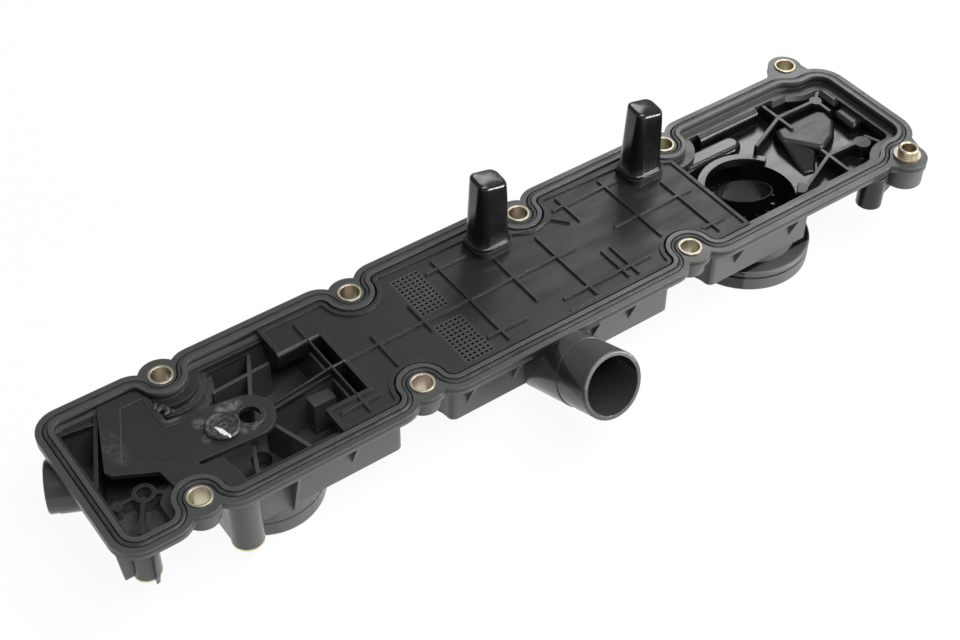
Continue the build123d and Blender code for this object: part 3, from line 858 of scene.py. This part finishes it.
@dataclass
class DrainCup:
    """A tall drain cup: full corners, a slanted crowned tip and a bead at its foot.

    Attributes:
        name: The CAD node that it stands for.
        centre: Middle of the foot in drawing millimetres.
        foot: Outside of the foot in plan.
        taper: Draft, as inset for each millimetre of height.
        low: Height of the foot's underside.
        tip: Height of the tip's middle.
        slant: Rise of the tip for each millimetre along and across.
        edge: Radius of the tip's edge.
        crown: Rise of the tip's middle over its edge.
        wall: Thickness of the wall.
        roof: Thickness over the hollow.
        bead: The bead's distance out, radius and height of its middle.
        below_bead: Heights of the rings under the bead.
        above_bead: Heights of the rings over the bead.
        arc_steps: Steps round the bead and round the tip's edge.
        crown_rings: Rings over the crown.
    """

    name: str
    centre: tuple[float, float]
    foot: RoundedPlan = RoundedPlan(9.0, 7.5, 5.6)
    taper: float = 0.042
    low: float = -2.9
    tip: float = 36.0
    slant: tuple[float, float] = (-0.22, 0.12)
    edge: float = 1.8
    crown: float = 0.35
    wall: float = 1.7
    roof: float = 6.0
    bead: Triple = (0.15, 0.75, 2.95)
    below_bead: tuple[float, ...] = (1.5, 2.1)
    above_bead: tuple[float, ...] = (3.9, 12.0, 20.0, 28.0)
    arc_steps: int = 8
    crown_rings: int = 8

    def tip_height(self, point: Vector) -> float:
        """Work out the slanted tip's height over one point."""
        return self.tip + self.slant[0] * point.x + self.slant[1] * point.y

    def level(self, inset: float, z: float) -> list[Vector]:
        """Lay one ring round the tapered body.

        Args:
            inset: Distance inside the tapered outside.
            z: Height in millimetres.

        Returns:
            The ring from the cup's own middle.
        """
        plan = self.foot.inset(inset + self.taper * (z - self.low))
        return [point + Vector((0.0, 0.0, z)) for point in plan.points()]

    def rings(self) -> list[list[Vector]]:
        """Lay all rings, from the hollow's roof down, out and up over the tip.

        Returns:
            The rings in order, from the cup's own middle.
        """
        rings = [self.level(self.wall, z) for z in (self.tip - self.roof, self.low)]
        rings += [self.level(0.0, z) for z in (self.low, *self.below_bead)]
        out, round_r, middle = self.bead
        for step in range(self.arc_steps + 1):
            angle = (step / self.arc_steps - 0.5) * math.pi
            outward = out + round_r * math.cos(angle)
            rings.append(self.level(-outward, middle + round_r * math.sin(angle)))
        rings += [self.level(0.0, z) for z in self.above_bead]
        top = self.foot.inset(self.taper * (self.tip - self.low))
        for step in range(self.arc_steps + 1):
            angle = step / self.arc_steps * math.pi / 2
            ring = top.inset(self.edge * (1 - math.cos(angle))).points()
            rings.append(self.over_tip(ring, -self.edge * (1 - math.sin(angle))))
        inner = top.inset(self.edge).points()
        for step in range(1, self.crown_rings + 1):
            share = 1 - step / (self.crown_rings + 1)
            shrunk = [point * share for point in inner]
            rings.append(self.over_tip(shrunk, self.crown * (1 - share**2)))
        return rings

    def over_tip(self, ring: list[Vector], rise: float) -> list[Vector]:
        """Lift a flat ring to the slanted tip.

        Args:
            ring: The ring from the cup's own middle, with z at 0.
            rise: Height over the tip's slanted plane in millimetres.

        Returns:
            The lifted ring.
        """
        return [point + Vector((0.0, 0.0, self.tip_height(point) + rise)) for point in ring]

    def build(self, material: bpy.types.Material) -> None:
        """Build the cup in place of its CAD node.

        Args:
            material: The finish that the CAD node wears.
        """
        middle = at(*self.centre, 0.0)
        mesh = bmesh.new()
        skin(mesh, [[middle + point * MM for point in ring] for ring in self.rings()])
        bmesh.ops.remove_doubles(mesh, verts=mesh.verts, dist=1e-7)
        smooth(mesh)
        piece = place(mesh, f"{self.name}_moulded", material)
        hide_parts(self.name)


@dataclass(frozen=True)
class RibSection:
    """Section of a rib that spans the left opening, in millimetres.

    Attributes:
        root: Half width at the rib's underside.
        shoulder: Half width where the top starts to round.
        crest: Half width of the flat on top.
        round_over: Drop from the top to the shoulder.
    """

    root: float = 0.6875
    shoulder: float = 0.55
    crest: float = 0.3025
    round_over: float = 0.35

    def points(self, top: float, bottom: float) -> list[tuple[float, float]]:
        """Walk round the section as sideways place and height.

        Args:
            top: Height of the rib's top.
            bottom: Height of its underside.

        Returns:
            The section's corners.
        """
        shoulder = (self.shoulder, top - self.round_over)
        half = [(self.root, bottom), shoulder, (self.crest, top)]
        return half + [(-side, height) for side, height in reversed(half)]


@dataclass
class Baffle:
    """The separator baffle with slim collars and the ribs over the left opening.

    Attributes:
        node: The CAD baffle.
        cups: The two drain cups that the collars hold.
        cut: The CAD collar's outside in plan.
        slim: The drawn-in collar's outside in plan.
        bottom: Height over which a collar is drawn in.
        seat: Height over which the cup's seat is drawn in.
        collar_band: Distances from the CAD collar's outside that belong to it.
        seat_band: Distances from the CAD collar's outside that belong to the seat.
        play: Gap between seat and cup.
        rib: Section of the ribs.
        ribs: Places along each rib as x, y, top and bottom.
    """

    node: bpy.types.Object
    cups: tuple[DrainCup, ...]
    cut: RoundedPlan = RoundedPlan(11.25, 9.8, 5.0)
    slim: RoundedPlan = RoundedPlan(10.0, 8.5, 6.0)
    bottom: float = -1.35
    seat: float = -3.0
    collar_band: tuple[float, float] = (-1.2, 0.05)
    seat_band: tuple[float, float] = (-2.3, -1.2)
    play: float = 0.05
    rib: RibSection = RibSection()
    ribs: tuple[tuple[Station, ...], ...] = (
        ((-47.5, -3.8, -0.3, -9.0), (-55.0, -3.8, -0.4, -11.0), (-82.6, -3.8, -5.4, -12.0)),
        ((-53.5, 14.6, -0.3, -5.0), (-53.5, -4.0, -0.3, -5.0), (-53.5, -22.6, -0.3, -5.0)),
    )

    def lay_rib(self, mesh: bmesh.types.BMesh, stations: tuple[Station, ...]) -> None:
        """Lay one rib that spans the left opening.

        Args:
            mesh: The mesh that gets the rib.
            stations: Places along the rib as x, y, top and bottom in millimetres.
        """
        (start_x, start_y, *_), (end_x, end_y, *_) = stations[0], stations[-1]
        run = Vector((end_x - start_x, end_y - start_y, 0.0)).normalized()
        side = Vector((-run.y, run.x, 0.0))
        rings = []
        for x, y, top, bottom in stations:
            section = self.rib.points(top, bottom)
            rings.append([at(x + side.x * off, y + side.y * off, z) for off, z in section])
        first = len(mesh.faces)
        skin(mesh, rings)
        mesh.faces.ensure_lookup_table()
        bmesh.ops.recalc_face_normals(mesh, faces=mesh.faces[first:])

    def draw_in(self, vert: bmesh.types.BMVert, cup: DrainCup) -> None:
        """Draw one point of a collar or a seat in to the slim shape.

        Args:
            vert: A point of the copied CAD mesh.
            cup: The cup that the collar holds.
        """
        local = (vert.co - at(*cup.centre, 0.0)) / MM
        outside, _ = self.cut.outward(local)
        if local.z > self.bottom and self.collar_band[0] < outside < self.collar_band[1]:
            now, away = self.slim.outward(local)
            vert.co -= away * (now - outside) * MM
        elif local.z > self.seat and self.seat_band[0] < outside <= self.seat_band[1]:
            now, away = cup.foot.outward(local)
            vert.co -= away * (now - self.play) * MM

    def build(self) -> None:
        """Copy the CAD mesh, draw the collars in and lay the ribs over the opening."""
        mesh = bmesh.new()
        mesh.from_mesh(self.node.data)
        for vert in mesh.verts:
            for cup in self.cups:
                self.draw_in(vert, cup)
        for stations in self.ribs:
            self.lay_rib(mesh, stations)
        piece = place(mesh, "separator_baffle_slim", self.node.data.materials[0])
        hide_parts("separator_baffle")


@dataclass(frozen=True)
class Swell:
    """A smooth ring-shaped swelling of molten nylon.

    Attributes:
        height: Its height in millimetres.
        middle: Where it is highest, as a share of the radius.
        spread: Square of its width, as a share of the radius.
    """

    height: float
    middle: float
    spread: float

    def at(self, share: float) -> float:
        """Give its height at a share of the radius."""
        return self.height * math.exp(-((share - self.middle) ** 2) / self.spread)


@dataclass
class HeatStake:
    """The melted pin on the deflector: a dished ring with a white highlight painted in its dish.

    Attributes:
        centre: Middle of the pin.
        radius: Outer radius in millimetres.
        swells: The outer rim, the step inside it and the nub in the middle.
        dish: Rise of the dish from its middle to its edge.
        wave: Height of the slow waves and of the lumps.
        lump_size: How often lumps repeat outward and round.
        wobble: How far the outline wanders, as a share of the radius.
        sunk: How far the edge goes into the plate.
        rings: Rings of points.
        spokes: Points on each ring.
        glint_run: Direction of the painted highlight, as a unit vector.
        glint_middle: The highlight's middle along its run.
        glint_half: Half its length.
        glint_width: Half its greatest width.
        glint_off: How far it passes the pin's middle.
        glint_soft: Width of its soft edge.
        glint_wander: How far its edge wanders.
    """

    centre: Vector = field(default_factory=lambda: at(-105.0, -6.3, -0.55))
    radius: float = 7.2
    swells: tuple[Swell, ...] = (
        Swell(0.6, 0.88, 0.006),
        Swell(0.12, 0.6, 0.008),
        Swell(0.4, 0.16, 0.006),
    )
    dish: float = 0.4
    wave: float = 0.08
    lump_size: tuple[float, float] = (4.2, 1.9)
    wobble: float = 0.015
    sunk: float = 0.55
    rings: int = 30
    spokes: int = 84
    glint_run: tuple[float, float] = (0.285, -0.959)
    glint_middle: float = 0.36
    glint_half: float = 0.66
    glint_width: float = 0.15
    glint_off: float = 0.34
    glint_soft: float = 0.04
    glint_wander: float = 0.05

    def height(self, share: float, angle: float) -> float:
        """Work out the height of the melted ring.

        Args:
            share: Distance from the middle, from 0 to 1.
            angle: Direction in radians.

        Returns:
            Height in millimetres.
        """
        outward, around = self.lump_size
        where = Vector((share * outward, math.cos(angle) * around, math.sin(angle) * around))
        lump = self.wave * noise.noise(where)
        wave = self.wave * math.sin(3 * angle + 0.6) * share
        return self.dish * share**2 + wave + sum(swell.at(share) for swell in self.swells) + lump

    def glint(self, share: float, angle: float) -> float:
        """Tell how strongly the painted highlight whitens the ring at one point.

        Args:
            share: Distance from the middle, from 0 to 1.
            angle: Direction in radians.

        Returns:
            0 for black nylon up to 1 for the full painted highlight.
        """
        x = share * math.cos(angle)
        y = share * math.sin(angle)
        run = self.glint_run[0] * x + self.glint_run[1] * y
        side = self.glint_run[0] * y - self.glint_run[1] * x
        along = (run - self.glint_middle) / self.glint_half
        width = self.glint_width * max(0.0, 1 - along**2)
        edge = self.glint_wander * noise.noise(Vector((x * 6, y * 6, 0.3)))
        inside = width + edge - abs(side + self.glint_off)
        return min(1.0, max(0.0, inside / self.glint_soft))

    def build(self) -> None:
        """Build the blob as one fan of rings."""
        mesh = bmesh.new()
        # Each point keeps how strongly the painted highlight whitens it.
        layer = mesh.verts.layers.float.new("glint")
        rows: list[list[bmesh.types.BMVert]] = []
        for ring in range(self.rings + 1):
            share = ring / self.rings
            row = []
            for spoke in range(self.spokes):
                angle = 2 * math.pi * spoke / self.spokes
                wobble = 1 + self.wobble * math.sin(4 * angle + 1) * share
                reach = self.radius * share * wobble
                z = self.height(share, angle) - (self.sunk if ring == self.rings else 0.0)
                offset = Vector((reach * math.cos(angle), reach * math.sin(angle), z))
                point = mesh.verts.new(self.centre + offset * MM)
                point[layer] = self.glint(share, angle)
                row.append(point)
            rows.append(row)
        for inner, outer in zip(rows, rows[1:]):
            for spoke in range(self.spokes):
                after = (spoke + 1) % self.spokes
                mesh.faces.new((inner[spoke], outer[spoke], outer[after], inner[after]))
        bmesh.ops.remove_doubles(mesh, verts=mesh.verts, dist=1e-6)
        smooth(mesh)
        place(mesh, "stake_melt", MeltedNylon().material())


@dataclass
class Flash:
    """Torn flash and melted beads beside the deflector arm.

    Attributes:
        seed: Start of the random turns.
        squash: Factors that flatten a bead, before it is turned.
        lumpy: How uneven a bead is.
        lump_scale: How often lumps repeat on a bead and from bead to bead.
        spots: The beads as x, y, z and radius in drawing millimetres.
    """

    seed: int = 7
    squash: Triple = (1.5, 0.8, 0.55)
    lumpy: float = 0.3
    lump_scale: tuple[float, float] = (900.0, 400.0)
    spots: Sequence[Station] = (
        (-121.6, 18.6, -1.6, 1.3),
        (-120.3, 16.4, -1.5, 1.5),
        (-118.6, 15.2, -1.6, 1.6),
        (-118.9, 13.2, -1.7, 1.1),
        (-116.9, 13.0, -1.8, 0.9),
        (-114.9, 6.4, -1.5, 0.5),
    )

    def build(self) -> None:
        """Build the beads as one lumpy mesh."""
        rng = random.Random(self.seed)
        on_bead, between = self.lump_scale
        mesh = bmesh.new()
        for x, y, z, radius in self.spots:
            made = bmesh.ops.create_icosphere(mesh, subdivisions=3, radius=radius * MM)
            shift = at(x, y, z)
            turn = Matrix.Rotation(rng.random() * 3, 3, "Z")
            for vert in made["verts"]:
                where = vert.co * on_bead + shift * between
                lump = 1 + self.lumpy * noise.noise(where)
                vert.co = turn @ (vert.co * Vector(self.squash) * lump) + shift
        mesh.verts.layers.float.new("glint")
        smooth(mesh)
        place(mesh, "torn_flash", MeltedNylon("torn_flash").material())


@dataclass(frozen=True)
class SoftLamp:
    """One rectangular lamp: its place and size in metres and its power in watts."""

    name: str
    where: Triple
    size: tuple[float, float]
    power: float


@dataclass
class Studio:
    """Pale floor, soft lamps and the camera.

    Attributes:
        eye: Place of the camera.
        right: The picture's direction to the right.
        up: The picture's direction upward.
        ahead: The direction in which the camera looks.
        lens: Focal length in millimetres.
        sensor: Width of the camera's sensor in millimetres.
        surround: Strength of the even white surround.
        floor_half: Half the floor's width in metres.
        floor_paint: Brightness of the floor's own colour.
        floor_glow: Share of plain white in the floor that is seen.
        lamps: The lamps.
    """

    eye: Vector = field(default_factory=lambda: at(-278.17, -413.71, 487.1))
    right: Vector = Vector((0.8133, -0.58179, 0.008))
    up: Vector = Vector((0.40533, 0.57638, 0.70958))
    ahead: Vector = Vector((0.41744, 0.57386, -0.70458))
    lens: float = 62.66
    sensor: float = 36.0
    surround: float = 0.35
    floor_half: float = 4.0
    floor_paint: float = 0.86
    floor_glow: float = 0.93
    lamps: tuple[SoftLamp, ...] = (
        SoftLamp("overhead", (0.25, -0.5, 1.15), (1.5, 0.16), 17.0),
        SoftLamp("back_right", (0.95, 0.72, 0.85), (0.45, 0.45), 3.8),
        SoftLamp("low_front", (0.95, -1.05, 0.14), (0.9, 0.24), 32.0),
    )

    def camera(self) -> None:
        """Add the camera at the photographed angle."""
        data = bpy.data.cameras.new("view")
        data.lens = self.lens
        data.sensor_width = self.sensor
        data.clip_start = 0.01
        camera = bpy.data.objects.new("view", data)
        turn = Matrix((self.right, self.up, -self.ahead)).transposed().to_4x4()
        camera.matrix_world = Matrix.Translation(self.eye) @ turn
        bpy.context.scene.collection.objects.link(camera)
        bpy.context.scene.camera = camera

    def floor(self) -> None:
        """Add the plain pale floor, which is seen as white but still takes the shadow."""
        mesh = bmesh.new()
        bmesh.ops.create_grid(mesh, x_segments=1, y_segments=1, size=self.floor_half)
        data = bpy.data.meshes.new("floor")
        mesh.to_mesh(data)
        mesh.free()
        floor = bpy.data.objects.new("floor", data)
        floor.location.z = (FLOOR_Z - FLOOR_GAP) * MM
        bpy.context.scene.collection.objects.link(floor)
        book = Book("floor_white")
        rays = book.node("ShaderNodeLightPath", {}, {}).outputs
        seen = Num(book, rays["Is Camera Ray"])
        seen = seen + rays["Is Glossy Ray"] + rays["Is Transmission Ray"]
        grey = (self.floor_paint, self.floor_paint, self.floor_paint, 1.0)
        white = (1.0, 1.0, 1.0, 1.0)
        paint = book.node("ShaderNodeBsdfDiffuse", {}, {"Color": grey}).outputs[0]
        glow = book.node("ShaderNodeEmission", {}, {"Color": white, "Strength": 1.0}).outputs[0]
        inputs = {0: seen * self.floor_glow, 1: paint, 2: glow}
        mixed = book.node("ShaderNodeMixShader", {}, inputs).outputs[0]
        book.tree.links.new(mixed, book.out.inputs[0])
        data.materials.append(book.material)

    def lamp(self, soft: SoftLamp) -> None:
        """Add one lamp that is aimed at the cover.

        Args:
            soft: The lamp's place, size and power.
        """
        data = bpy.data.lights.new(soft.name, "AREA")
        data.shape = "RECTANGLE"
        data.size, data.size_y = soft.size
        data.energy = soft.power
        lamp = bpy.data.objects.new(soft.name, data)
        lamp.location = soft.where
        lamp.rotation_euler = (-Vector(soft.where)).to_track_quat("-Z", "Y").to_euler()
        bpy.context.scene.collection.objects.link(lamp)

    def world(self) -> None:
        """Set a pale even surround."""
        world = bpy.data.worlds.new("surround")
        bpy.context.scene.world = world
        world.use_nodes = True
        back = world.node_tree.nodes["Background"]
        back.inputs["Color"].default_value = (1.0, 1.0, 1.0, 1.0)
        back.inputs["Strength"].default_value = self.surround

    def build(self) -> None:
        """Set up the whole studio."""
        self.camera()
        self.floor()
        self.world()
        for soft in self.lamps:
            self.lamp(soft)
        bpy.context.scene.view_settings.view_transform = "Standard"


def main() -> None:
    """Build the scene in order."""
    logging.basicConfig(level=logging.INFO, format="%(message)s")
    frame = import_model()
    nodes = frame["nodes"]
    moulding = Moulding(nodes)
    moulding.dress()
    left = DrainCup("drain_cup_left", (41.0, 20.4))
    right = DrainCup("drain_cup_right", (126.1, 20.2))
    cups = (left, right)
    for cup in cups:
        cup.build(nodes[cup.name].data.materials[0])
    Baffle(nodes["separator_baffle"], cups).build()
    HeatStake().build()
    Flash().build()
    Studio().build()


if __name__ == "__main__":
    main()
